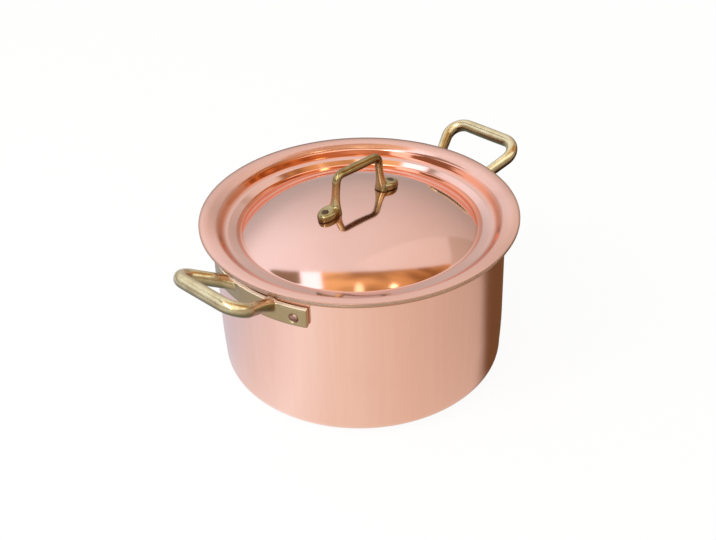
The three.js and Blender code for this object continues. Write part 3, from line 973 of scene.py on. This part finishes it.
def add_camera():
    forward = Vector((0, math.cos(CAMERA_HEIGHT_ANGLE), -math.sin(CAMERA_HEIGHT_ANGLE)))
    up = Vector((0, math.sin(CAMERA_HEIGHT_ANGLE), math.cos(CAMERA_HEIGHT_ANGLE)))
    right = Vector((1, 0, 0))
    right_rolled = right * math.cos(CAMERA_ROLL) - up * math.sin(CAMERA_ROLL)
    up_rolled = right * math.sin(CAMERA_ROLL) + up * math.cos(CAMERA_ROLL)
    place = (CAMERA_TARGET - forward * CAMERA_DISTANCE) * MM
    axes = Matrix((right_rolled, up_rolled, -forward)).transposed().to_4x4()
    data = bpy.data.cameras.new("studio_camera")
    data.sensor_fit = "HORIZONTAL"
    data.sensor_width = 36
    data.lens = FOCAL_PIXELS / IMAGE_WIDTH * 36
    data.clip_start = 0.01
    data.clip_end = 30
    camera = bpy.data.objects.new("studio_camera", data)
    camera.matrix_world = studio_turn() @ Matrix.Translation(place) @ axes
    bpy.context.scene.collection.objects.link(camera)
    bpy.context.scene.camera = camera


def in_the_studio(finish, coordinates):
    """The three numbers of a place or direction in the studio's frame."""
    vector = finish.add("ShaderNodeTexCoord", None, None, coordinates)
    turn = {"Vector": vector, "Angle": -CAMERA_TURN}
    return finish.parts_of(finish.add("ShaderNodeVectorRotate", {"rotation_type": "Z_AXIS"}, turn))


def add_floor():
    """A pale floor. The camera sees it near white, with the pot's shadow kept.

    The metal sees it glow instead, with painted light and shade: pale to the front and left and
    browner to the right, as a lit room's floor is.
    """
    mesh = bmesh.new()
    bmesh.ops.create_grid(mesh, x_segments=8, y_segments=8, size=6000)
    floor = made("studio_floor", mesh)
    material = bpy.data.materials.new("pale_floor")
    material.use_nodes = True
    finish = Finish(material.node_tree)
    soft = finish.add("ShaderNodeBsdfDiffuse", None, {"Color": (0.88, 0.88, 0.88, 1)})
    white = finish.add("ShaderNodeEmission", None, {"Color": (1, 1, 1, 1), "Strength": 1.0})
    x, y = in_the_studio(finish, "Object")[:2]
    around = (y.maths("ARCTAN2", y, x) + math.pi) / (2 * math.pi)
    # The glow that the metal mirrors: painted light and shade, pale to the front and left and brown
    # to the right
    room = finish.add("ShaderNodeValToRGB", {"stops": [
        (0.0, (0.7, 0.73, 0.82)), (0.08, (0.86, 0.82, 0.82)), (0.15, (1.0, 1.0, 1.0)),
        (0.21, (0.9, 0.83, 0.75)), (0.3, (0.8, 0.68, 0.58)), (0.42, (0.66, 0.55, 0.47)),
        (0.5, (0.58, 0.48, 0.41)), (0.58, (0.46, 0.42, 0.38)), (0.66, (0.56, 0.54, 0.53)),
        (1.0, (0.7, 0.73, 0.82)),
    ]}, {"Fac": around})

    # A painted dark stretch of the glowing floor, seen only in reflections: painted shade that
    # shows as an upright brown strip near the wall's right edge
    start = (y + 0.0739) * 0.936 - (x - 0.0946) * 0.353
    end = (y + 0.025) * 0.277 - (x - 0.1174) * 0.96
    dark = start.rise(-0.006, 0.02) * (1 - end.rise(0.0, 0.03)) * x.rise(0.04, 0.07)
    room = finish.blend(dark, room, (0.16, 0.075, 0.03, 1))
    mirrored = finish.add("ShaderNodeEmission", None, {"Color": room, "Strength": 1.0})
    path = finish.add("ShaderNodeLightPath", None, None, "Is Camera Ray").socket.node
    camera = Value(finish, path.outputs["Is Camera Ray"])
    glossy = Value(finish, path.outputs["Is Glossy Ray"])
    surface = finish.add("ShaderNodeMixShader", None, {0: glossy, 1: soft, 2: mirrored})
    surface = finish.add("ShaderNodeMixShader", None, {0: camera * 0.93, 1: surface, 2: white})
    finish.add("ShaderNodeOutputMaterial", None, {"Surface": surface})
    floor.data.materials.append(material)


def add_world():
    """A soft studio: pale behind and to the left, dimmer to the right, warm overhead and in front.

    Directions are told by where they meet a level plane above: across and away, per unit of height.
    """
    world = bpy.data.worlds.new("studio")
    world.use_nodes = True
    bpy.context.scene.world = world
    finish = Finish(world.node_tree)
    x, y, z = in_the_studio(finish, "Generated")
    across = x / z.highest(0.03)
    away = y / z.highest(0.03)
    wide = across.highest(across * -1)
    shaded = finish.blend(z.rise(0, 0.9), (0.53, 0.54, 0.56, 1), (0.97, 0.99, 1.05, 1))
    shaded = finish.tinted(x.rise(-0.75, 0.7), shaded, (0.8, 0.71, 0.63, 1))
    aside = x.highest(x * -1).rise(0.3, 0.5)
    shaded = finish.blend((1 - z.rise(0.05, 0.14)) * aside, shaded, (0.26, 0.15, 0.11, 1))
    left_glow = (1 - x.rise(-0.9, -0.1)) * z.rise(0.25, 0.6)
    shaded = finish.blend(left_glow * 0.8, shaded, (1.1, 1.14, 1.25, 1))

    # A paler sheet low behind on the right, with a straight upper edge and an upright end
    sheet = (across * 0.89 + 0.217 - away).rise(-0.015, 0.015) * z.rise(0.3, 0.4)
    shaded = finish.tinted(sheet * x.rise(-0.1, 0.1), shaded, (1.1, 1.1, 1.1, 1))
    beyond = across.rise(0.85, 0.92) * sheet
    shaded = finish.tinted(beyond, shaded, (0.78, 0.74, 0.68, 1))

    # The warm side of the room, over and behind the camera, with its beams and one bright window
    border = ((across * across) * 0.5).lowest(wide * 0.42) + 0.09
    front = (1 - (away - border).rise(-0.012, 0.012)) * z.rise(0.1, 0.3)
    warm = finish.blend(across.rise(-0.3, 0.6), (0.8, 0.53, 0.24, 1), (0.56, 0.3, 0.11, 1))
    run = finish.add("ShaderNodeCombineXYZ", None, {0: across * 0.25, 1: away, 2: 0.3})
    beams = finish.noise(run, 7.5, 2).rise(0.38, 0.62)
    warm = finish.tinted(1.0, warm, finish.blend(beams, (0.55, 0.46, 0.4, 1), (1.25, 1.2, 1.15, 1)))
    window = across.rise(-0.54, -0.51) * (1 - across.rise(-0.34, -0.31))
    warm = finish.blend(window, warm, (1.6, 1.65, 1.9, 1))
    brown = 1 - across.rise(-0.54, -0.51)
    warm = finish.blend(brown, warm, (0.28, 0.2, 0.13, 1))

    # Two small lamps nearly overhead, and a bright ceiling from there to behind the camera
    for centre, glow in ((0.28, (4.2, 3.5, 2.3, 1)), (-0.02, (1.9, 1.5, 0.95, 1))):
        aslant = (across - centre) * 28
        along = (away + 0.1) * 15
        lamp = 1 - (aslant * aslant + along * along).rise(0.4, 1.6)
        warm = finish.blend(lamp, warm, glow)
    ceiling = finish.blend(window, (1.3, 1.25, 1.15, 1), (5.6, 5.6, 5.7, 1))
    warm = finish.blend(1 - away.rise(-0.55, -0.32), warm, ceiling)
    shaded = finish.blend(front * across.rise(-1.05, -0.92), shaded, warm)
    seen = finish.add("ShaderNodeLightPath", None, None, "Is Camera Ray")
    colour = finish.blend(seen, shaded, (1, 1, 1, 1))
    sky = finish.add("ShaderNodeBackground", None, {"Color": colour, "Strength": 1.0})
    finish.add("ShaderNodeOutputWorld", None, {"Surface": sky})


def add_lamp(name, place, target, size, watts):
    """A soft square lamp, in the studio's frame and millimetres. The metal doesn't mirror it."""
    data = bpy.data.lights.new(name, "AREA")
    data.shape = "RECTANGLE"
    data.size, data.size_y = size[0] * MM, size[1] * MM
    data.energy = watts
    lamp = bpy.data.objects.new(name, data)
    spot = studio_turn() @ (Vector(place) * MM)
    aim = studio_turn() @ (Vector(target) * MM)
    lamp.location = spot
    lamp.rotation_mode = "QUATERNION"
    lamp.rotation_quaternion = (aim - spot).to_track_quat("-Z", "Y")
    lamp.visible_camera = False
    lamp.visible_glossy = False
    bpy.context.scene.collection.objects.link(lamp)


def set_studio():
    add_camera()
    add_floor()
    add_world()
    add_lamp("key_lamp", (-900, -500, 900), (0, 0, 60), (600, 600), 9)
    bpy.context.scene.view_settings.view_transform = "Standard"


dress_pot()
set_studio()
bpy.context.view_layer.update()
